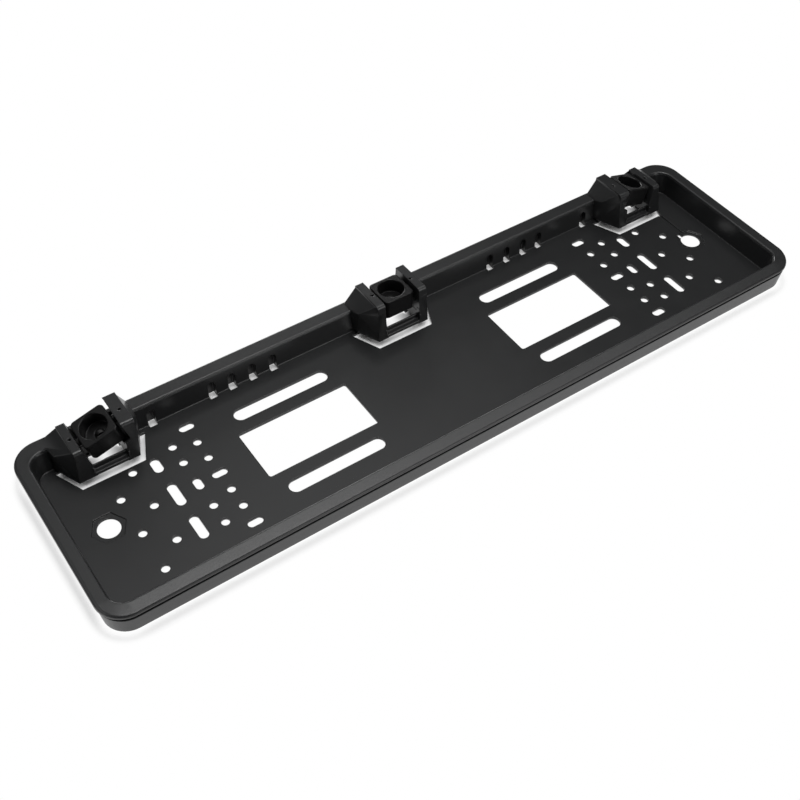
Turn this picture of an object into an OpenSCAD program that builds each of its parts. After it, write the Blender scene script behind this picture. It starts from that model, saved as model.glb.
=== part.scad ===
// Number plate holder: a shallow tray with three tilting sensor holders along its far wall.
// All sizes are in millimetres. The origin is at the middle of the bottom, +Z is up.

/* [View] */
// Sub-part to draw: all of them or one node
// Roundness of curves
$fn = 48; // [24:8:96]

/* [Tray] */
// Outside length of the tray
tray_length = 540; // [500:1:600]
// Outside width of the tray
tray_width = 143; // [134:1:160]
// Height of the rim above the resting face
rim_height = 19.2; // [16:0.1:24]
// Thickness of the floor
floor_thickness = 2; // [1.5:0.1:3]
// Outside corner radius
corner_radius = 17; // [12:0.5:30]
// Inward lean of the outer wall from lip to foot
outer_draft = 1.8; // [0.5:0.1:4]
// Height of the lip above the groove in the outer wall
lip_height = 4.4; // [2.4:0.1:6]
// Height of the groove under the lip
groove_height = 1.2; // [0.4:0.1:2]
// Depth of the groove under the lip
groove_depth = 1.2; // [0.6:0.1:2]
// Radius of the rounded outer edge of the rim
outer_edge_radius = 1.4; // [0.5:0.1:2.4]
// Radius of the rounded inner edge of the rim
inner_edge_radius = 1.5; // [0.3:0.1:2]

/* [Plate recess] */
// Width of the rim at each end, at the floor
end_rim = 9.9; // [8:0.1:20]
// Width of the near rim, at the floor
near_rim = 11.1; // [8:0.1:20]
// Width of the far rim, at the floor
far_rim = 12.7; // [10:0.1:15]
// Outward lean of the recess walls from floor to rim
inner_draft = 1.9; // [0.5:0.1:5]
// Corner radius of the recess at the floor
recess_corner = 8; // [3:0.5:14]

/* [Windows and long slots] */
// Distance of the window middles from the tray ends
window_margin = 170; // [150:0.5:190]
// Length of each window
window_length = 80.6; // [40:0.1:100]
// Width of the web between a window and a long slot
window_web = 9.5; // [3:0.1:14]
// Corner radius of each window
window_corner = 1.6; // [0.5:0.1:6]
// Length of each long slot
long_slot_length = 70; // [30:0.5:90]
// Width of each long slot
long_slot_width = 9.8; // [4:0.1:12]
// Distance of the long slots from the near recess wall
long_slot_margin = 26; // [18:0.1:30]
// Shift of all floor openings toward the brackets
pattern_shift = 0.3; // [-1:0.1:1]

/* [Screw holes] */
// Spacing of the hole columns
hole_pitch = 14.9; // [12:0.05:16]
// Distance of the first hole column from the tray end
first_column_margin = 105.5; // [100:0.1:112]
// Distance of the near hole row from the near recess wall
near_row_margin = 16.4; // [10:0.1:18]
// Diameter of the round screw holes
screw_hole_diameter = 5.4; // [3:0.1:7]
// Length of the cross slots
cross_slot_length = 10.2; // [7:0.1:13]
// Length of the oval holes
oval_length = 9.6; // [7:0.1:14]
// Width of the upright slots
upright_slot_width = 6.2; // [4:0.1:8]
// Length of the long upright slots
upright_slot_length = 18.6; // [10:0.1:21]
// Length of the short upright slots
short_slot_length = 11.8; // [8:0.1:15]
// Diameter of the large cable hole
cable_hole_diameter = 14.4; // [8:0.1:16]
// Distance of the cable holes from the tray ends
cable_hole_margin = 31.1; // [28:0.1:34]
// Width across flats of the six-sided pocket round the cable hole
pocket_flats = 19.4; // [17:0.1:21]
// Depth of the six-sided pocket
pocket_depth = 0.8; // [0.3:0.1:1.2]
// Width of the cable groove from the right bracket to the cable hole
groove_width = 2.2; // [1:0.1:4]
// Depth of the cable groove
cable_groove_depth = 0.9; // [0.3:0.1:1.2]

/* [Clip notches] */
// Width of each clip notch at the foot of the far wall
notch_width = 5.4; // [3:0.1:9]
// Distance that a notch reaches over the floor
notch_floor_reach = 2.2; // [0.5:0.1:3]
// Distance that a notch reaches into the wall
notch_wall_reach = 4.6; // [3:0.1:6]
// Height of each notch above the floor
notch_height = 11; // [5:0.5:13]
// Distance of the outer clip notches from the outer bracket middles
outer_clip_gap = 38.9; // [34:0.1:44]

/* [Brackets] */
// Distance of the outer bracket middles from the tray ends
bracket_margin = 50.3; // [44:0.1:56]
// Distance of the bracket fronts from the far side of the tray
bracket_depth = 34; // [32:0.1:35]
// Height of the bracket underside above the resting face, so that a plate slides under it
foot_height = 4.4; // [3.6:0.1:6]
// Half width of a bracket foot at its front
foot_front_half = 20.3; // [19:0.1:24]
// Half width of a bracket foot at its bend
foot_bend_half = 27.5; // [24:0.1:30]
// Distance of that bend from the far side of the tray
foot_bend_depth = 18; // [14:0.1:22]
// Half width of a bracket foot at the wall
foot_back_half = 28.5; // [25:0.1:32]
// Height of the front bar
bar_height = 10.8; // [8:0.1:12]
// Height of the ledge on the front bar
ledge_height = 7; // [5.5:0.1:8]
// Depth of the ledge on the front bar
ledge_depth = 3.6; // [2:0.1:4]
// Thickness of the riser behind the ledge
riser_thickness = 1.2; // [0.8:0.1:1.6]
// Distance of the floor opening from the bracket front
opening_front_gap = 3.1; // [1:0.1:4]
// Distance of the floor opening from the side of the bracket foot at the front
opening_side_gap = 1.6; // [1:0.1:4]
// Distance of the floor opening from the side of the bracket foot at the bend
opening_bend_gap = 3.8; // [1:0.1:5]
// Distance of the floor opening from the far side of the tray
opening_back_depth = 16.5; // [15:0.1:20]
// Narrowing of the floor opening on the outward side of the outer brackets
outer_trim = 1.8; // [0:0.1:3]

/* [Ears] */
// Half width over the ears of the centre bracket
centre_ear_half = 19.8; // [18:0.1:22]
// Height of the ear tops of the centre bracket
centre_ear_top = 33.4; // [32:0.1:38]
// Outside of the inward ears of the outer brackets from the bracket middle
inward_ear_half = 22.1; // [21:0.1:24]
// Height of the inward ears of the outer brackets
inward_ear_top = 34.2; // [33:0.1:38]
// Outside of the outward ears of the outer brackets from the bracket middle
outward_ear_half = 18.4; // [17.6:0.1:20]
// Height of the outward ears of the outer brackets
outward_ear_top = 27.4; // [27:0.1:30]
// Backward rake of the ear fronts from foot to top
ear_rake = 3.1; // [1:0.1:4]
// Radius of the rounded top front edge of the ears
ear_edge_radius = 2.6; // [1:0.1:4]
// Distance of the ear backs from the far side of the tray
ear_back_depth = 2.8; // [2.4:0.1:5]
// Fall of the ear tops from front to back
ear_fall = 1; // [0:0.1:2]
// Drop of the side crease below the ear top, at the front
crease_drop = 6.5; // [4:0.1:8]
// Diameter of the clamp screw holes in the ears
clamp_hole_diameter = 1.8; // [1:0.1:2.2]
// Depth of the clamp screw holes
clamp_hole_depth = 4; // [2:0.1:4.4]
// Distance of the clamp screw holes from the inside of the ears
clamp_inset = 1.8; // [1.6:0.1:3]

/* [Sensor holders] */
// Width of a holder along its hinge
holder_width = 23.2; // [21:0.1:24]
// Depth of a holder across its hinge
holder_depth = 22.6; // [20:0.1:23.2]
// Height of a holder above its hinge line
holder_rise = 5.7; // [4:0.1:8]
// Height of a holder below its hinge line
holder_drop = 8.6; // [6:0.1:9]
// Corner radius of a holder
holder_corner = 3; // [1:0.1:5]
// Diameter of the sensor bore
sensor_bore_diameter = 18; // [12:0.1:19]
// Depth of the sensor bore
sensor_bore_depth = 10; // [6:0.1:12]
// Diameter of the cable hole in the holder bottom
holder_cable_diameter = 6; // [3:0.1:10]
// Gap between a holder and its ears
holder_gap = 2.1; // [1:0.1:3]
// Room below a holder for its swing
swing_room = 3.6; // [3.2:0.1:4.4]
// Distance of the hinge line from the far side of the tray
hinge_depth = 17.5; // [17:0.1:18]
// Height of the hinge line of the centre holder
centre_hinge_height = 25.4; // [24:0.1:27]
// Height of the hinge middle of the outer holders
outer_hinge_height = 24.2; // [23:0.1:26]
// Shift of the outer holders toward the middle of the tray
outer_shift = 2; // [0:0.1:3]
// Outward lean of the outer holders in degrees
outer_lean = 16; // [8:0.5:20]
// Tilt of the centre holder as photographed, in degrees
centre_tilt = 3; // [-5:0.5:5]
// Tilt of the left holder as photographed, in degrees
left_tilt = -4; // [-5:0.5:5]
// Tilt of the right holder as photographed, in degrees
right_tilt = 3; // [-5:0.5:5]
// Diameter of the hinge pins on a holder
pin_diameter = 5; // [3:0.1:6]
// Running clearance of a hinge pin in its ear, on the radius
pin_clearance = 0.06; // [0.02:0.01:0.1]
// Depth of a pin in its ear
pin_reach = 3.2; // [1.5:0.1:3.4]

/* [Hidden] */
over = 1;
trace = 0.1;
half_turn = 180;
quarter = 90;
sides = [-1, 1];
black = [0.06, 0.06, 0.065];
dark = [0.03, 0.03, 0.033];
half_length = tray_length / 2;
half_width = tray_width / 2;
through = floor_thickness + 2 * over;
recess_half_length = half_length - end_rim;
recess_near = half_width - near_rim;
recess_far = half_width - far_rim;
recess_shift = (recess_far - recess_near) / 2;
recess_half_width = (recess_far + recess_near) / 2;
recess_height = rim_height - floor_thickness;
groove_top = rim_height - lip_height;
groove_foot = groove_top - groove_height;
wall_inset = 0.5;
edge_overlap = 0.2;
window_place = half_length - window_margin;
long_slot_place = recess_near - long_slot_margin;
window_width = 2 * (long_slot_place - long_slot_width / 2 - window_web);
first_column = half_length - first_column_margin;
cable_hole_place = half_length - cable_hole_margin;
near_row = 3;
row_step = (recess_near - near_row_margin) / near_row;
oval_column = 1;
slot_column = 2;
round_holes = [
  [0, 2], [0, 1], [0, -1], [0, -2],
  [1, 7 / 3], [1, 4 / 3], [1, -4 / 3], [1, -7 / 3],
  [3, 2], [3, 0], [3, -2],
  [4, 1], [4, -1], [4, -near_row]
];
cross_slot_rows = [near_row, 0, -near_row];
short_slot_row = 1.8;
upright_slot_rows = [0, -1.96];
hex_sides = 6;
key_width = 2.5;
key_length = 3.6;
key_offset = 4.4;
clip_offsets = [-8.4, 7.2, 22.6, 37.2];
bracket_place = half_length - bracket_margin;
bracket_front = half_width - bracket_depth;
foot_bend = half_width - foot_bend_depth;
opening_front = bracket_front - opening_front_gap;
opening_back = half_width - opening_back_depth;
opening_top = (floor_thickness + foot_height) / 2;
opening_front_half = foot_front_half + opening_side_gap;
opening_back_half = foot_bend_half + opening_bend_gap;
riser_front = bracket_front + ledge_depth;
bar_back = riser_front + riser_thickness;
ear_top_edge = bracket_front + ear_rake + ear_edge_radius;
ear_back = half_width - ear_back_depth;
hinge_place = half_width - hinge_depth;
room_half = holder_width / 2 + holder_gap;
room_low = holder_drop + swing_room;
room_front_low = holder_drop + 0.3;
room_high = 12;
room_back = half_width - 3.4;
room_step = bar_back - 0.3;
well_back = hinge_place + 3.5;
well_top = centre_hinge_height - 6;
column_half = room_half - 0.2;
outward_column_half = column_half - 4.3;
wall_meet = half_width - 9.9;
slope_back = half_width - outer_draft;
slope_top = rim_height - edge_overlap;
corner_size = 0.4;
ear_under = 0.9;
slab_sink = 1.5;
centre_ear = [centre_ear_half, centre_ear_top, column_half, room_half + clamp_inset];
inward_ear = [inward_ear_half, inward_ear_top, column_half, room_half + clamp_inset + 2.9];
outward_ear = [outward_ear_half, outward_ear_top, outward_column_half, room_half + clamp_inset];
ear_bore_radius = pin_diameter / 2 + pin_clearance;
ear_bore_half = room_half + pin_reach + 0.4;
pin_half = room_half + pin_reach;

// Outer wall profile from the corner centre outward
module outer_profile() {
  r = corner_radius;
  difference() {
    polygon([
      [0, 0],
      [r - outer_draft, 0],
      [r - wall_inset, groove_foot],
      [r - groove_depth, groove_foot + trace],
      [r - groove_depth, groove_top - trace],
      [r, groove_top],
      [r, rim_height],
      [0, rim_height]
    ]);
    translate([r - outer_edge_radius, rim_height - outer_edge_radius])
      difference() {
        square(outer_edge_radius + over);
        circle(r = outer_edge_radius);
      }
  }
}

// Recess wall profile from the corner centre outward
module inner_profile() {
  r = recess_corner;
  top = recess_height;
  e = inner_edge_radius;
  union() {
    polygon([
      [0, 0],
      [r, 0],
      [r + inner_draft * (top - e) / top, top - e],
      [r + inner_draft, top],
      [r + inner_draft, top + over],
      [0, top + over]
    ]);
    difference() {
      translate([r + inner_draft - edge_overlap, top - e])
        square([e + edge_overlap, e + over]);
      translate([r + inner_draft + e, top - e])
        circle(r = e);
    }
  }
}

// Solid whose edge follows a rounded rectangle, from a profile given as the child
module swept_block(half_x, half_y, r, height) {
  x = half_x - r;
  y = half_y - r;
  for (i = [0:3])
    translate([(i == 0 || i == 3) ? x : -x, (i < 2) ? y : -y, 0])
      rotate([0, 0, quarter * i])
        rotate_extrude(angle = quarter)
          children();
  for (s = sides) {
    translate([0, s * y, 0])
      rotate([0, 0, s * quarter])
        translate([0, x, 0])
          rotate([quarter, 0, 0])
            linear_extrude(height = 2 * x)
              children();
    translate([s * x, 0, 0])
      rotate([0, 0, (s > 0) ? 0 : half_turn])
        translate([0, y, 0])
          rotate([quarter, 0, 0])
            linear_extrude(height = 2 * y)
              children();
  }
  translate([-x, -y, 0])
    cube([2 * x, 2 * y, height]);
}

// Straight slot through the floor, long side along X
module slot(long, wide) {
  translate([0, 0, -over])
    linear_extrude(height = through)
      union() {
        square([long - wide, wide], center = true);
        for (s = sides)
          translate([s * (long - wide) / 2, 0])
            circle(d = wide);
      }
}

// Window with small round corners
module window() {
  r = window_corner;
  translate([0, 0, -over])
    linear_extrude(height = through)
      union() {
        square([window_length - 2 * r, window_width], center = true);
        square([window_length, window_width - 2 * r], center = true);
        for (sx = sides, sy = sides)
          translate([sx * (window_length / 2 - r), sy * (window_width / 2 - r)])
            circle(r = r);
      }
}

// All openings of the right half of the floor, mirrored for the left half
module floor_openings() {
  translate([window_place, 0, 0])
    window();
  for (s = sides)
    translate([window_place, s * long_slot_place, 0])
      slot(long_slot_length, long_slot_width);
  for (h = round_holes)
    translate([first_column + h[0] * hole_pitch, h[1] * row_step, -over])
      cylinder(d = screw_hole_diameter, h = through);
  for (row = cross_slot_rows)
    translate([first_column, row * row_step, 0])
      slot(cross_slot_length, screw_hole_diameter);
  translate([first_column + oval_column * hole_pitch, 0, 0])
    rotate([0, 0, quarter])
      slot(oval_length, screw_hole_diameter);
  translate([first_column + slot_column * hole_pitch, short_slot_row * row_step, 0])
    rotate([0, 0, quarter])
      slot(short_slot_length, upright_slot_width);
  for (row = upright_slot_rows)
    translate([first_column + slot_column * hole_pitch, row * row_step, 0])
      rotate([0, 0, quarter])
        slot(upright_slot_length, upright_slot_width);
  translate([cable_hole_place, 0, -over])
    cylinder(d = cable_hole_diameter, h = through);
  translate([cable_hole_place, 0, floor_thickness - pocket_depth])
    cylinder(d = pocket_flats / cos(half_turn / hex_sides), h = over, $fn = hex_sides);
}

// Key notch at the right cable hole and the groove that leads to it
module cable_groove() {
  translate([cable_hole_place - groove_width / 2, 0, floor_thickness - cable_groove_depth])
    cube([groove_width, opening_front + trace, over + cable_groove_depth]);
  translate([cable_hole_place - key_offset, cable_hole_diameter / 2 - over, -over])
    cube([key_width, key_length, through]);
}

// Clip notch at the foot of the far wall, with a round top
module clip_notch() {
  reach = notch_floor_reach + notch_wall_reach;
  r = notch_width / 2;
  translate([-r, recess_far - notch_floor_reach, -over])
    cube([notch_width, reach, notch_height + floor_thickness - r + over]);
  translate([0, recess_far - notch_floor_reach, notch_height + floor_thickness - r])
    rotate([-quarter, 0, 0])
      cylinder(r = r, h = reach);
}

// Place of the raked ear front at a height
function rake_at(z, top) =
  bracket_front + ear_rake * (z - foot_height) / (top - ear_edge_radius - foot_height);

// Small block whose outward top corner is one corner of a cheek
module corner_block(x, y, z) {
  translate([x - corner_size, y, z - corner_size])
    cube(corner_size);
}

// Cheek of a bracket: an upright foot below a crease, then a slope up to the ear
module cheek(ear) {
  top = ear[1];
  inner = ear[2] - over;
  crease = top - crease_drop;
  front = rake_at(crease, top);
  bend_crease = crease + (slope_top - crease) * (foot_bend - front) / (wall_meet - front);
  hull() {
    translate([0, 0, foot_height])
      linear_extrude(height = corner_size)
        polygon([
          [inner, bracket_front],
          [foot_front_half, bracket_front],
          [foot_bend_half, foot_bend],
          [foot_back_half, wall_meet],
          [inner, wall_meet]
        ]);
    for (x = [inner + corner_size, ear[0] + edge_overlap])
      corner_block(x, front, crease);
    corner_block(foot_bend_half, foot_bend - corner_size, bend_crease);
    corner_block(foot_back_half, wall_meet, slope_top);
    for (x = [inner + corner_size, foot_back_half])
      corner_block(x, slope_back - corner_size, slope_top);
    for (x = [inner + corner_size, ear[0] - edge_overlap]) {
      corner_block(x, ear_top_edge + corner_size, top - ear_under);
      corner_block(x, ear_back - 2 * corner_size, top - ear_fall - ear_under);
    }
  }
}

// Side profile of the upper part of an ear, with a rounded top front edge
module ear_profile(top) {
  r = ear_edge_radius;
  low = top - crease_drop - slab_sink;
  union() {
    polygon([
      [rake_at(low, top) + trace, low],
      [ear_back, low],
      [ear_back, top - ear_fall],
      [ear_top_edge, top],
      [ear_top_edge - r, top - r]
    ]);
    translate([ear_top_edge, top - r])
      circle(r = r);
  }
}

// Upright slab that finishes an ear above its cheek
module ear_slab(ear) {
  translate([ear[2] - over, 0, 0])
    rotate([quarter, 0, quarter])
      linear_extrude(height = ear[0] - ear[2] + over)
        ear_profile(ear[1]);
}

// Space that leans with a holder, about the middle of its hinge line
module leaned(shift, height, lean) {
  translate([-shift, 0, height])
    rotate([0, lean, 0])
      children();
}

// Bracket before its room is cut: two cheeks with ears and a front bar between them
module bracket_block(ears, shift, height, lean) {
  difference() {
    union() {
      mirror([1, 0, 0])
        union() {
          cheek(ears[0]);
          ear_slab(ears[0]);
        }
      cheek(ears[1]);
      ear_slab(ears[1]);
      translate([-ears[0][2] - over, bracket_front + trace, foot_height + trace])
        cube([
          ears[0][2] + ears[1][2] + 2 * over,
          bar_back + over - bracket_front - trace,
          bar_height + over - foot_height
        ]);
    }
    leaned(shift, height, lean)
      translate([trace - room_half, room_back - over, -room_front_low])
        cube([2 * (room_half - trace), far_rim, room_front_low + room_high]);
  }
}

// Straight well of a bracket, seen along the hinge, with the ledge and the riser in front
module well_profile() {
  polygon([
    [bracket_front - over, ledge_height],
    [riser_front, ledge_height],
    [riser_front, bar_height],
    [bar_back, bar_height],
    [bar_back, -over],
    [well_back, -over],
    [well_back, well_top],
    [bracket_front - over, well_top]
  ]);
}

// Room in which a holder swings, seen along the hinge, heights from the hinge line
module room_profile() {
  polygon([
    [bracket_front - over, -room_front_low],
    [room_step, -room_front_low],
    [room_step, -room_low],
    [room_back, -room_low],
    [room_back, room_high],
    [bracket_front - over, room_high]
  ]);
}

// Well, holder room, hinge bore and clamp holes of a bracket
module bracket_cuts(ears, shift, height, lean) {
  translate([-ears[0][2], 0, 0])
    rotate([quarter, 0, quarter])
      linear_extrude(height = ears[0][2] + ears[1][2])
        well_profile();
  leaned(shift, height, lean)
    translate([-room_half, 0, 0])
      rotate([quarter, 0, quarter])
        linear_extrude(height = 2 * room_half)
          room_profile();
  leaned(shift, height, lean)
    translate([0, hinge_place, 0])
      rotate([0, quarter, 0])
        cylinder(r = ear_bore_radius, h = 2 * ear_bore_half, center = true);
  for (i = [0, 1])
    translate([sides[i] * ears[i][3], hinge_place, ears[i][1] - clamp_hole_depth])
      cylinder(d = clamp_hole_diameter, h = clamp_hole_depth + over);
}

// Floor opening under a bracket, seen as a light slot round it
module bracket_opening(trim) {
  translate([0, 0, -over])
    linear_extrude(height = opening_top + over)
      polygon([
        [-opening_front_half, opening_front],
        [opening_front_half - trim, opening_front],
        [opening_back_half - trim, opening_back],
        [-opening_back_half, opening_back]
      ]);
}

// Blocks of the three brackets
module brackets() {
  ears = [inward_ear, outward_ear];
  bracket_block([centre_ear, centre_ear], 0, centre_hinge_height, 0);
  for (m = [0, 1])
    mirror([m, 0, 0])
      translate([bracket_place, 0, 0])
        bracket_block(ears, outer_shift, outer_hinge_height, outer_lean);
}

// Everything that is cut for the three brackets
module bracket_rooms() {
  ears = [inward_ear, outward_ear];
  bracket_opening(0);
  bracket_cuts([centre_ear, centre_ear], 0, centre_hinge_height, 0);
  for (m = [0, 1])
    mirror([m, 0, 0])
      translate([bracket_place, 0, 0])
        union() {
          bracket_opening(outer_trim);
          bracket_cuts(ears, outer_shift, outer_hinge_height, outer_lean);
        }
}

// Tray with rim, recess, floor openings and the three brackets moulded on its far wall
module tray() {
  color(black)
    difference() {
      union() {
        difference() {
          swept_block(half_length, half_width, corner_radius, rim_height)
            outer_profile();
          translate([0, recess_shift, floor_thickness])
            swept_block(recess_half_length, recess_half_width, recess_corner, recess_height + over)
              inner_profile();
        }
        brackets();
      }
      translate([0, pattern_shift, 0])
        union() {
          floor_openings();
          mirror([1, 0, 0])
            floor_openings();
          cable_groove();
        }
      for (s = sides) {
        for (x = clip_offsets)
          translate([s * (window_place + x), 0, 0])
            clip_notch();
        translate([s * (bracket_place - outer_clip_gap), 0, 0])
          clip_notch();
      }
      bracket_rooms();
    }
}

// Holder plan with rounded corners
module holder_plan() {
  r = holder_corner;
  union() {
    square([holder_width - 2 * r, holder_depth], center = true);
    square([holder_width, holder_depth - 2 * r], center = true);
    for (sx = sides, sy = sides)
      translate([sx * (holder_width / 2 - r), sy * (holder_depth / 2 - r)])
        circle(r = r);
  }
}

// Sensor holder: a rounded square block with a bore, on two hinge pins, about its hinge line
module holder_body() {
  difference() {
    union() {
      translate([0, 0, -holder_drop])
        linear_extrude(height = holder_drop + holder_rise)
          holder_plan();
      rotate([0, quarter, 0])
        cylinder(d = pin_diameter, h = 2 * pin_half, center = true);
    }
    translate([0, 0, holder_rise - sensor_bore_depth])
      cylinder(d = sensor_bore_diameter, h = sensor_bore_depth + over);
    translate([0, 0, -holder_drop - over])
      cylinder(d = holder_cable_diameter, h = holder_drop + holder_rise + over - sensor_bore_depth / 2);
  }
}

// Holder in its place on the hinge line of a bracket
module placed_holder(shift, height, lean, tilt) {
  leaned(shift, height, lean)
    translate([0, hinge_place, 0])
      rotate([-tilt, 0, 0])
        holder_body();
}

// Left holder, leaning outward to the left
module holder_left() {
  color(dark)
    translate([-bracket_place, 0, 0])
      placed_holder(-outer_shift, outer_hinge_height, -outer_lean, left_tilt);
}

// Centre holder, upright
module holder_centre() {
  color(dark)
    placed_holder(0, centre_hinge_height, 0, centre_tilt);
}

// Right holder, leaning outward to the right
module holder_right() {
  color(dark)
    translate([bracket_place, 0, 0])
      placed_holder(outer_shift, outer_hinge_height, outer_lean, right_tilt);
}

tray();
holder_left();
holder_centre();
holder_right();
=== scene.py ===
import math

import bmesh
import bpy
from mathutils import Matrix, Vector


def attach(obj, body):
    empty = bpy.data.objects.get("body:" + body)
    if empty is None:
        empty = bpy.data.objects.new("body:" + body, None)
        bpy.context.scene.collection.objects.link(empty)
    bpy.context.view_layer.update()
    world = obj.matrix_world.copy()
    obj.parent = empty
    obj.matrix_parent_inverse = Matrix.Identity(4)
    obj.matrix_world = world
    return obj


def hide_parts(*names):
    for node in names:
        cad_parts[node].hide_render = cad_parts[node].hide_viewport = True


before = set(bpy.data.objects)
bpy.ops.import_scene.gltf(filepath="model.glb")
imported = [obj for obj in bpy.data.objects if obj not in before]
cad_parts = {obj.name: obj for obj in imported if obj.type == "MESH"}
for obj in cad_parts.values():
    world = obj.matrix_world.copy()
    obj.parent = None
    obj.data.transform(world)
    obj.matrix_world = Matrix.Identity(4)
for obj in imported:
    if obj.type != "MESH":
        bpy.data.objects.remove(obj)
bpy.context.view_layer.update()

bl_info = {
    "name": "Number plate holder",
    "version": (1, 0, 0),
    "blender": (4, 5, 0),
    "location": "View3D > Sidebar > Plate Holder",
    "description": "Dresses the plate holder frame with plastic pieces",
    "category": "Add Mesh",
}

MM = 0.001
SIDES = ("left", "centre", "right")
WHITE = (1.0, 1.0, 1.0, 1.0)

# Space of the brackets, where the edges take the larger rounding
BRACKET_MIDDLES = (-219.7 * MM, 0.0, 219.7 * MM)
BRACKET_HALF = 31 * MM
BRACKET_FRONT = 33 * MM
BRACKET_FOOT = 3 * MM

# Points closer than this become one, first on loose triangles, then on faces
FIRST_MERGE = 0.003 * MM
MERGE = 0.03 * MM

# Faces within the flat angle are joined, edges over the sharp one rounded
FLAT_ANGLE = math.radians(0.6)
SHARP_ANGLE = math.radians(24.0)
SMOOTH_ANGLE = math.radians(32.0)

# Two edges are one run above this cosine of the angle between them
STRAIGHT_COSINE = 0.8

# A rounding takes at most this share of the edges that it cuts into
ROOM_SHARE = 0.45
LEAST_ROUNDING = 0.06 * MM
ROUNDING_STEPS = 2
FACE_WEIGHT = 100

# Rim and groove: distances out from where the corners turn, and heights
CORNER_X = 253 * MM
CORNER_Y = 54.5 * MM
SLOPE_START = 8.5 * MM
SLOPE_WIDTH = 8.5 * MM
RIM_HEIGHT = 15.5 * MM
GROOVE_START = 14.0 * MM
GROOVE_ROOF = (14.5 * MM, 15.1 * MM)
GROOVE_FOOT = (13.4 * MM, 13.9 * MM)
GROOVE_HEIGHTS = (13.0 * MM, 16.3 * MM)
GROOVE_BACK = (15.2 * MM, 16.2 * MM)
LIP_HEIGHT = 14.5 * MM
LIP_START = 16.2 * MM

# Moves of the groove's foot and back, for each millimetre of its roof
FOOT_SHARE = 0.4
BACK_SHARE = 0.8

# Bands over which the grain of the rim and the outer walls sets in
BAND_LONG_WAY = (261.4 * MM, 262.2 * MM)
BAND_ACROSS = (61.4 * MM, 62.2 * MM)
BAND_TOP = (19.9 * MM, 19.4 * MM)

# Moulded plastic: a noise is given by its scale and its detail
COLOUR_NOISE = (14.0, 3.0)
GLOSS_NOISE = (60.0, 4.0)
GRAIN_DETAIL = 2.0
DARKER = 0.86
LIGHTER = 1.16
GLOSS_SPREAD = 0.04
GRAIN_DEPTH = 0.2 * MM
TRAY_GRAIN = 0.10
HOLDER_GRAIN = 0.08
RIM_GRAIN_FACTOR = 2.5
TRAY_SHINE = 0.5
PLASTIC_IOR = 1.5
GLINT_SAMPLES = 4

# Camera: its sensor in millimetres, its view limits in metres and its axes
SENSOR_WIDTH = 36.0
CLIP_START = 0.01
CLIP_END = 50.0
CAMERA_RIGHT = Vector((0.821698, -0.569196, 0.028794))
CAMERA_DOWN = Vector((-0.412097, -0.628289, -0.65987))
CAMERA_FORWARD = Vector((0.393686, 0.530348, -0.750828))

# Floor and lamps: each lamp by name, turn and height in degrees, and watts
FLOOR_DROP = 0.4 * MM
FLOOR_COLOUR = (0.9, 0.9, 0.9, 1.0)
SHADE_SAMPLES = 16
FULL_GLOW = 1.0
LAMP_SIZE = 0.75
LAMP_DISTANCE = 1.6
LAMPS = (
    ("above", 0.0, 88.0, 10.3),
    ("right_high", 0.0, 62.0, 3.9),
    ("far_high", 60.0, 62.0, 1.5),
    ("far_left_high", 120.0, 62.0, 1.5),
    ("near_low", 288.0, 14.0, 4.5),
    ("far_low", 72.0, 14.0, 9.6),
    ("left_low", 180.0, 14.0, 3.0),
    ("near_edge", 300.0, 31.0, 2.5),
)


class PlateFinish(bpy.types.PropertyGroup):
    """Colours and gloss of the black mouldings"""

    tray_colour: bpy.props.FloatVectorProperty(
        name="Tray colour",
        description="Colour of the tray moulding",
        subtype="COLOR",
        size=3,
        min=0.0,
        max=1.0,
        default=(0.016, 0.0165, 0.017),
    )
    holder_colour: bpy.props.FloatVectorProperty(
        name="Holder colour",
        description="Colour of the sensor holders",
        subtype="COLOR",
        size=3,
        min=0.0,
        max=1.0,
        default=(0.007, 0.007, 0.0072),
    )
    tray_roughness: bpy.props.FloatProperty(
        name="Tray roughness",
        description="Roughness of the satin tray",
        subtype="FACTOR",
        min=0.0,
        max=1.0,
        default=0.30,
    )
    rim_roughness: bpy.props.FloatProperty(
        name="Rim roughness",
        description="Roughness of the grained rim and outer walls",
        subtype="FACTOR",
        min=0.0,
        max=1.0,
        default=0.34,
    )
    holder_roughness: bpy.props.FloatProperty(
        name="Holder roughness",
        description="Roughness of the sensor holders",
        subtype="FACTOR",
        min=0.0,
        max=1.0,
        default=0.32,
    )
    holder_shine: bpy.props.FloatProperty(
        name="Holder shine",
        description="Strength of the gloss of the sensor holders",
        subtype="FACTOR",
        min=0.0,
        max=1.0,
        default=0.3,
    )
    grain_size: bpy.props.FloatProperty(
        name="Grain size",
        description="Size of the fine moulded grain",
        subtype="DISTANCE",
        unit="LENGTH",
        min=0.0001,
        max=0.01,
        default=0.0007,
    )


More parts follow.
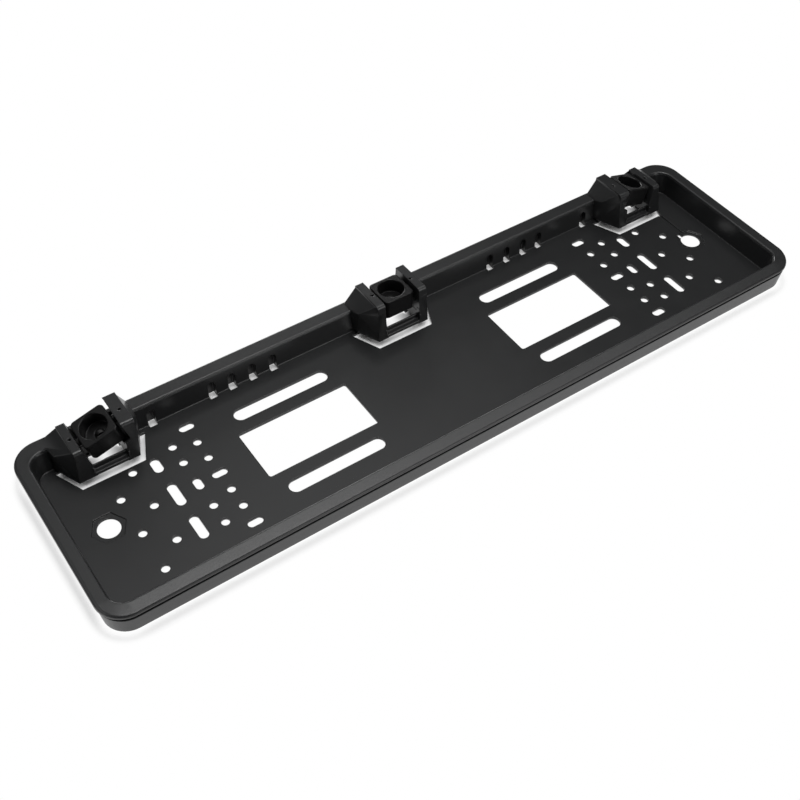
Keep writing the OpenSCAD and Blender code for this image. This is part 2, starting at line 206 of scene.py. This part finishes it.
class PlateDetail(bpy.types.PropertyGroup):
    """Edges, rim and groove of the mouldings"""

    tray_edge: bpy.props.FloatProperty(
        name="Tray edge",
        description="Rounding of the sharp edges of the tray",
        subtype="DISTANCE",
        unit="LENGTH",
        min=0.0,
        max=0.002,
        default=0.00025,
    )
    bracket_edge: bpy.props.FloatProperty(
        name="Bracket edge",
        description="Rounding of the sharp edges of the brackets",
        subtype="DISTANCE",
        unit="LENGTH",
        min=0.0,
        max=0.002,
        default=0.0005,
    )
    holder_edge: bpy.props.FloatProperty(
        name="Holder edge",
        description="Rounding of the sharp edges of the sensor holders",
        subtype="DISTANCE",
        unit="LENGTH",
        min=0.0,
        max=0.002,
        default=0.0005,
    )
    glint_radius: bpy.props.FloatProperty(
        name="Glint radius",
        description="Rounding that the edges show where they catch the light",
        subtype="DISTANCE",
        unit="LENGTH",
        min=0.0,
        max=0.002,
        default=0.0006,
    )
    lip_reach: bpy.props.FloatProperty(
        name="Lip reach",
        description="How far the lip is carried out at the two ends",
        subtype="DISTANCE",
        unit="LENGTH",
        min=0.0,
        max=0.002,
        default=0.0009,
    )
    rim_fall: bpy.props.FloatProperty(
        name="Rim fall",
        description="How much lower the near rim is at its outer edge",
        subtype="DISTANCE",
        unit="LENGTH",
        min=0.0,
        max=0.002,
        default=0.0013,
    )
    groove_open: bpy.props.FloatProperty(
        name="Groove opening",
        description="How far the groove is opened up into the lip",
        subtype="DISTANCE",
        unit="LENGTH",
        min=0.0,
        max=0.002,
        default=0.0010,
    )


class PlateStage(bpy.types.PropertyGroup):
    """Camera, floor and even light"""

    camera_place: bpy.props.FloatVectorProperty(
        name="Camera place",
        description="Where the camera stands",
        subtype="TRANSLATION",
        unit="LENGTH",
        size=3,
        default=(-0.33186, -0.40858, 0.56390),
    )
    camera_lens: bpy.props.FloatProperty(
        name="Camera lens",
        description="Focal length for a sensor 36 mm wide",
        unit="CAMERA",
        default=51.295,
    )
    shade_reach: bpy.props.FloatProperty(
        name="Shade reach",
        description="How far above the floor a piece still shades it",
        subtype="DISTANCE",
        unit="LENGTH",
        default=0.013,
    )
    hole_reach: bpy.props.FloatProperty(
        name="Hole reach",
        description="Height up to which the walls of a hole don't shade it",
        subtype="DISTANCE",
        unit="LENGTH",
        default=0.005,
    )
    shade_dark: bpy.props.FloatProperty(
        name="Shade dark",
        description="Open share of the sky at which the floor loses its glow",
        subtype="FACTOR",
        default=0.4,
    )
    shade_light: bpy.props.FloatProperty(
        name="Shade light",
        description="Open share of the sky at which the floor glows fully",
        subtype="FACTOR",
        default=0.85,
    )
    world_fill: bpy.props.FloatProperty(
        name="World fill",
        description="Strength of the even light from all sides",
        default=0.06,
    )
    floor_size: bpy.props.FloatProperty(
        name="Floor size",
        description="Length of the floor",
        subtype="DISTANCE",
        unit="LENGTH",
        default=12.0,
    )


def finish_settings():
    """Colours and gloss of the mouldings."""
    return bpy.context.scene.plate_finish


def detail_settings():
    """Edges, rim and groove of the mouldings."""
    return bpy.context.scene.plate_detail


def stage_settings():
    """Camera, floor and even light."""
    return bpy.context.scene.plate_stage


def empty_tree(owner):
    """Nodes and links of a material or world, with its own nodes cleared."""
    owner.use_nodes = True
    owner.node_tree.nodes.clear()
    return owner.node_tree.nodes, owner.node_tree.links


def frame_band(nodes, links, place):
    """One on the rim and the outer walls of the tray, zero elsewhere."""
    split = nodes.new("ShaderNodeSeparateXYZ")
    links.new(place, split.inputs["Vector"])

    def step(source, limits):
        node = nodes.new("ShaderNodeMapRange")
        node.inputs["From Min"].default_value = limits[0]
        node.inputs["From Max"].default_value = limits[1]
        links.new(source, node.inputs["Value"])
        return node.outputs["Result"]

    def combine(operation, *sources):
        node = nodes.new("ShaderNodeMath")
        node.operation = operation
        for socket, source in enumerate(sources):
            links.new(source, node.inputs[socket])
        return node.outputs["Value"]

    long_way = step(combine("ABSOLUTE", split.outputs["X"]), BAND_LONG_WAY)
    across = step(combine("ABSOLUTE", split.outputs["Y"]), BAND_ACROSS)
    below_ears = step(split.outputs["Z"], BAND_TOP)
    outside = combine("MAXIMUM", long_way, across)
    return combine("MULTIPLY", outside, below_ears)


def plastic(name, colour, roughness, shine, grain, rim_roughness=None):
    """Black moulded plastic with a fine grain and a slow drift of gloss.

    With a roughness for the rim, the rim and the outer walls take that
    roughness and a deeper grain.
    """
    mat = bpy.data.materials.new(name)
    nodes, links = empty_tree(mat)
    out = nodes.new("ShaderNodeOutputMaterial")
    shader = nodes.new("ShaderNodeBsdfPrincipled")
    links.new(shader.outputs["BSDF"], out.inputs["Surface"])
    where = nodes.new("ShaderNodeTexCoord")

    def noise(scale, detail):
        tex = nodes.new("ShaderNodeTexNoise")
        tex.inputs["Scale"].default_value = scale
        tex.inputs["Detail"].default_value = detail
        links.new(where.outputs["Object"], tex.inputs["Vector"])
        return tex.outputs["Fac"]

    def remap(source, low, high):
        node = nodes.new("ShaderNodeMapRange")
        node.inputs["To Min"].default_value = low
        node.inputs["To Max"].default_value = high
        links.new(source, node.inputs["Value"])
        return node.outputs["Result"]

    def tinted(factor):
        return tuple(part * factor for part in colour) + (1.0,)

    drift = noise(*COLOUR_NOISE)
    ramp = nodes.new("ShaderNodeMix")
    ramp.data_type = "RGBA"
    ramp.inputs["A"].default_value = tinted(DARKER)
    ramp.inputs["B"].default_value = tinted(LIGHTER)
    links.new(drift, ramp.inputs["Factor"])
    links.new(ramp.outputs["Result"], shader.inputs["Base Color"])

    fine = noise(1.0 / finish_settings().grain_size, GRAIN_DETAIL)
    gloss = remap(noise(*GLOSS_NOISE), roughness - GLOSS_SPREAD,
                  roughness + GLOSS_SPREAD)
    worn = nodes.new("ShaderNodeBevel")
    worn.samples = GLINT_SAMPLES
    worn.inputs["Radius"].default_value = detail_settings().glint_radius
    lift = nodes.new("ShaderNodeBump")
    lift.inputs["Strength"].default_value = grain
    lift.inputs["Distance"].default_value = GRAIN_DEPTH
    if rim_roughness is not None:
        band = frame_band(nodes, links, where.outputs["Object"])
        rough = nodes.new("ShaderNodeMath")
        rough.operation = "MULTIPLY_ADD"
        rough.inputs[1].default_value = rim_roughness - roughness
        links.new(band, rough.inputs[0])
        links.new(gloss, rough.inputs[2])
        gloss = rough.outputs["Value"]
        deeper = remap(band, grain, RIM_GRAIN_FACTOR * grain)
        links.new(deeper, lift.inputs["Strength"])
    links.new(gloss, shader.inputs["Roughness"])
    links.new(worn.outputs["Normal"], lift.inputs["Normal"])
    links.new(fine, lift.inputs["Height"])
    links.new(lift.outputs["Normal"], shader.inputs["Normal"])
    shader.inputs["IOR"].default_value = PLASTIC_IOR
    shader.inputs["Specular IOR Level"].default_value = shine
    return mat


def in_bracket(place):
    """Whether a point lies in one of the three brackets, above the floor."""
    aside = min(abs(place.x - middle) for middle in BRACKET_MIDDLES)
    return (aside < BRACKET_HALF and place.y > BRACKET_FRONT
            and place.z > BRACKET_FOOT)


def edge_shares(bm, width, fine_share):
    """Give each sharp edge its share of the rounding width.

    An edge in a bracket takes the whole width and any other edge fine_share
    of it, less where the faces beside it are narrow. The least share in a
    straight run of edges holds for the whole run, because a step in the
    width throws spikes.
    """
    weight = bm.edges.layers.float.new("bevel_weight_edge")
    sharp = {edge for edge in bm.edges if len(edge.link_faces) == 2
             and edge.calc_face_angle(0.0) > SHARP_ANGLE}
    sharp_edges = [edge for edge in bm.edges if edge in sharp]
    share, run = {}, {}
    for edge in sharp_edges:
        middle = (edge.verts[0].co + edge.verts[1].co) / 2
        room = width * (1.0 if in_bracket(middle) else fine_share)
        run[edge] = []
        for vert in edge.verts:
            along = (edge.other_vert(vert).co - vert.co).normalized()
            for other in vert.link_edges:
                if other is edge:
                    continue
                turn = (other.other_vert(vert).co - vert.co).normalized()
                turn = turn.dot(along)
                if turn < -STRAIGHT_COSINE and other in sharp:
                    run[edge].append(other)
                elif abs(turn) <= STRAIGHT_COSINE:
                    room = min(room, ROOM_SHARE * other.calc_length())
                elif turn > STRAIGHT_COSINE and other in sharp:
                    room = 0.0
        share[edge] = room
    settled = False
    while not settled:
        settled = True
        for edge in sharp_edges:
            least = min([share[edge]] + [share[other] for other in run[edge]])
            if least < share[edge]:
                share[edge] = least
                settled = False
    for edge in sharp_edges:
        if share[edge] > LEAST_ROUNDING:
            edge[weight] = share[edge] / width


def clamped(value, half):
    """The value, held between minus and plus half."""
    return max(-half, min(half, value))


def within(value, limits):
    """Whether a value lies between two limits."""
    return limits[0] < value < limits[1]


def shape_rim(bm, reach, fall, groove):
    """Carry the end lips out, slope the near rim and open the groove below it.

    The lip keeps its place along the far side.
    """
    for vert in bm.verts:
        place = vert.co
        spine = Vector((clamped(place.x, CORNER_X),
                        clamped(place.y, CORNER_Y), place.z))
        away = place - spine
        out = away.length
        if out < SLOPE_START:
            continue
        away.normalize()
        near, not_far = max(0.0, -away.y), 1.0 - max(0.0, away.y)
        if place.z > RIM_HEIGHT:
            place.z -= fall * near * (out - SLOPE_START) / SLOPE_WIDTH
        if out < GROOVE_START:
            continue
        if within(place.z, GROOVE_ROOF):
            place.z += groove * not_far
        elif within(place.z, GROOVE_FOOT):
            place.z -= FOOT_SHARE * groove * not_far
        if within(place.z, GROOVE_HEIGHTS) and within(out, GROOVE_BACK):
            vert.co = place - away * BACK_SHARE * groove * not_far
        elif place.z > LIP_HEIGHT and out > LIP_START:
            vert.co = place + away * reach * (1.0 - abs(away.y))


def softened(node, name, width, fine_share=1.0, reshape=None):
    """Copy a node's mesh, merge it, reshape it and round its sharp edges."""
    source = bpy.data.objects[node]
    bm = bmesh.new()
    bm.from_mesh(source.data)
    bmesh.ops.remove_doubles(bm, verts=bm.verts, dist=FIRST_MERGE)
    bmesh.ops.dissolve_degenerate(bm, dist=MERGE, edges=bm.edges)
    if reshape is not None:
        reshape(bm)
    bmesh.ops.dissolve_limit(bm, angle_limit=FLAT_ANGLE,
                             verts=bm.verts, edges=bm.edges)
    bmesh.ops.remove_doubles(bm, verts=bm.verts, dist=MERGE)
    bmesh.ops.dissolve_degenerate(bm, dist=MERGE, edges=bm.edges)
    edge_shares(bm, width, fine_share)
    mesh = bpy.data.meshes.new(name)
    bm.to_mesh(mesh)
    bm.free()
    obj = bpy.data.objects.new(name, mesh)
    bevel = obj.modifiers.new("edges", "BEVEL")
    bevel.width = width
    bevel.segments = ROUNDING_STEPS
    bevel.limit_method = "WEIGHT"
    bevel.use_clamp_overlap = False
    bevel.miter_outer = "MITER_ARC"
    even = obj.modifiers.new("even_shading", "WEIGHTED_NORMAL")
    even.keep_sharp = True
    even.weight = FACE_WEIGHT
    for poly in mesh.polygons:
        poly.use_smooth = True
    mesh.set_sharp_from_angle(angle=SMOOTH_ANGLE)
    return obj


def add_piece(obj, body, mat):
    """Add a piece to the scene, ride it on its body and give it its finish."""
    bpy.context.scene.collection.objects.link(obj)
    obj.data.materials.clear()
    obj.data.materials.append(mat)
    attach(obj, body)


class PLATE_OT_tray(bpy.types.Operator):
    """Dress the tray with satin black plastic"""

    bl_idname = "plate.tray"
    bl_label = "Tray"

    def execute(self, context):
        finish, detail = finish_settings(), detail_settings()
        mat = plastic("black_moulding", finish.tray_colour,
                      finish.tray_roughness, TRAY_SHINE, TRAY_GRAIN,
                      finish.rim_roughness)

        def reshape(bm):
            shape_rim(bm, detail.lip_reach, detail.rim_fall,
                      detail.groove_open)

        piece = softened("tray", "tray_moulding", detail.bracket_edge,
                         detail.tray_edge / detail.bracket_edge, reshape)
        add_piece(piece, "base", mat)
        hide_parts("tray")
        return {"FINISHED"}


class PLATE_OT_holders(bpy.types.Operator):
    """Add the three tilting sensor holders"""

    bl_idname = "plate.holders"
    bl_label = "Sensor holders"

    def execute(self, context):
        finish = finish_settings()
        mat = plastic("holder_moulding", finish.holder_colour,
                      finish.holder_roughness, finish.holder_shine,
                      HOLDER_GRAIN)
        for side in SIDES:
            node = "holder_" + side
            piece = softened(node, node + "_moulding",
                             detail_settings().holder_edge)
            add_piece(piece, node, mat)
            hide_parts(node)
        return {"FINISHED"}


def add_camera(scene, stage):
    """Set the camera at the photograph's viewing angle."""
    data = bpy.data.cameras.new("camera")
    data.sensor_fit = "HORIZONTAL"
    data.sensor_width = SENSOR_WIDTH
    data.lens = stage.camera_lens
    data.clip_start = CLIP_START
    data.clip_end = CLIP_END
    camera = bpy.data.objects.new("camera", data)
    turn = Matrix((CAMERA_RIGHT, -CAMERA_DOWN, -CAMERA_FORWARD)).transposed()
    camera.matrix_world = (Matrix.Translation(stage.camera_place)
                           @ turn.to_4x4())
    scene.collection.objects.link(camera)
    scene.camera = camera


def floor_finish(stage):
    """Pale floor, white to the camera and in gloss except in the shade.

    The shade comes from how open the sky is within shade_reach, over how
    open it is within hole_reach, so the walls of a hole don't darken the
    floor in it.
    """
    mat = bpy.data.materials.new("pale_floor")
    nodes, links = empty_tree(mat)
    out = nodes.new("ShaderNodeOutputMaterial")
    mix = nodes.new("ShaderNodeMixShader")
    matte = nodes.new("ShaderNodeBsdfDiffuse")
    glow = nodes.new("ShaderNodeEmission")
    seen = nodes.new("ShaderNodeLightPath")
    either = nodes.new("ShaderNodeMath")
    either.operation = "MAXIMUM"
    above = nodes.new("ShaderNodeMath")
    above.operation = "DIVIDE"
    for socket, reach in enumerate((stage.shade_reach, stage.hole_reach)):
        shade = nodes.new("ShaderNodeAmbientOcclusion")
        shade.samples = SHADE_SAMPLES
        shade.inputs["Distance"].default_value = reach
        links.new(shade.outputs["AO"], above.inputs[socket])
    open_sky = nodes.new("ShaderNodeMapRange")
    open_sky.inputs["From Min"].default_value = stage.shade_dark
    open_sky.inputs["From Max"].default_value = stage.shade_light
    share = nodes.new("ShaderNodeMath")
    share.operation = "MULTIPLY"
    matte.inputs["Color"].default_value = FLOOR_COLOUR
    glow.inputs["Color"].default_value = WHITE
    glow.inputs["Strength"].default_value = FULL_GLOW
    links.new(seen.outputs["Is Camera Ray"], either.inputs[0])
    links.new(seen.outputs["Is Glossy Ray"], either.inputs[1])
    links.new(above.outputs["Value"], open_sky.inputs["Value"])
    links.new(either.outputs["Value"], share.inputs[0])
    links.new(open_sky.outputs["Result"], share.inputs[1])
    links.new(share.outputs["Value"], mix.inputs["Fac"])
    links.new(matte.outputs["BSDF"], mix.inputs[1])
    links.new(glow.outputs["Emission"], mix.inputs[2])
    links.new(mix.outputs["Shader"], out.inputs["Surface"])
    return mat


def add_floor(scene, stage):
    """Lay the pale floor just below the part."""
    mesh = bpy.data.meshes.new("floor")
    bm = bmesh.new()
    bmesh.ops.create_grid(bm, x_segments=1, y_segments=1,
                          size=stage.floor_size / 2)
    bmesh.ops.translate(bm, verts=bm.verts, vec=(0, 0, -FLOOR_DROP))
    bm.to_mesh(mesh)
    bm.free()
    floor = bpy.data.objects.new("floor", mesh)
    scene.collection.objects.link(floor)
    mesh.materials.append(floor_finish(stage))


def add_world(scene, stage):
    """White to the camera, and a weak even light on the part."""
    world = bpy.data.worlds.new("studio")
    scene.world = world
    nodes, links = empty_tree(world)
    out = nodes.new("ShaderNodeOutputWorld")
    back = nodes.new("ShaderNodeBackground")
    seen = nodes.new("ShaderNodeLightPath")
    level = nodes.new("ShaderNodeMapRange")
    level.inputs["To Min"].default_value = stage.world_fill
    level.inputs["To Max"].default_value = FULL_GLOW
    back.inputs["Color"].default_value = WHITE
    links.new(seen.outputs["Is Camera Ray"], level.inputs["Value"])
    links.new(level.outputs["Result"], back.inputs["Strength"])
    links.new(back.outputs["Background"], out.inputs["Surface"])


def add_lamp(scene, name, turn, height, power):
    """Square soft box facing the part, turned from +X and raised."""
    data = bpy.data.lights.new(name, "AREA")
    data.shape = "SQUARE"
    data.size = LAMP_SIZE
    data.energy = power
    lamp = bpy.data.objects.new(name, data)
    scene.collection.objects.link(lamp)
    turn, height = math.radians(turn), math.radians(height)
    place = Vector((math.cos(height) * math.cos(turn),
                    math.cos(height) * math.sin(turn), math.sin(height)))
    lamp.rotation_euler = (-place).to_track_quat("-Z", "Y").to_euler()
    lamp.location = place * LAMP_DISTANCE


class PLATE_OT_stage(bpy.types.Operator):
    """Set the camera, the pale floor, the backdrop and the lamps"""

    bl_idname = "plate.stage"
    bl_label = "Stage"

    def execute(self, context):
        scene, stage = context.scene, stage_settings()
        scene.view_settings.view_transform = "Standard"
        add_camera(scene, stage)
        add_floor(scene, stage)
        add_world(scene, stage)
        for lamp in LAMPS:
            add_lamp(scene, *lamp)
        return {"FINISHED"}


class PLATE_PT_panel(bpy.types.Panel):
    """Lists the steps that build the plate holder"""

    bl_idname = "PLATE_PT_panel"
    bl_label = "Number plate holder"
    bl_space_type = "VIEW_3D"
    bl_region_type = "UI"
    bl_category = "Plate Holder"

    def draw(self, context):
        for operator in STEPS:
            self.layout.operator(operator.bl_idname)


STEPS = (PLATE_OT_tray, PLATE_OT_holders, PLATE_OT_stage)
GROUPS = (("plate_finish", PlateFinish), ("plate_detail", PlateDetail),
          ("plate_stage", PlateStage))


def register():
    """Register the settings, the steps and the panel."""
    for name, group in GROUPS:
        bpy.utils.register_class(group)
        setattr(bpy.types.Scene, name, bpy.props.PointerProperty(type=group))
    for step in STEPS:
        bpy.utils.register_class(step)
    bpy.utils.register_class(PLATE_PT_panel)


def unregister():
    """Take the panel, the steps and the settings out again."""
    bpy.utils.unregister_class(PLATE_PT_panel)
    for step in reversed(STEPS):
        bpy.utils.unregister_class(step)
    for name, group in reversed(GROUPS):
        delattr(bpy.types.Scene, name)
        bpy.utils.unregister_class(group)


def main():
    """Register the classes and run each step."""
    register()
    bpy.ops.plate.tray()
    bpy.ops.plate.holders()
    bpy.ops.plate.stage()


if __name__ == "__main__":
    main()
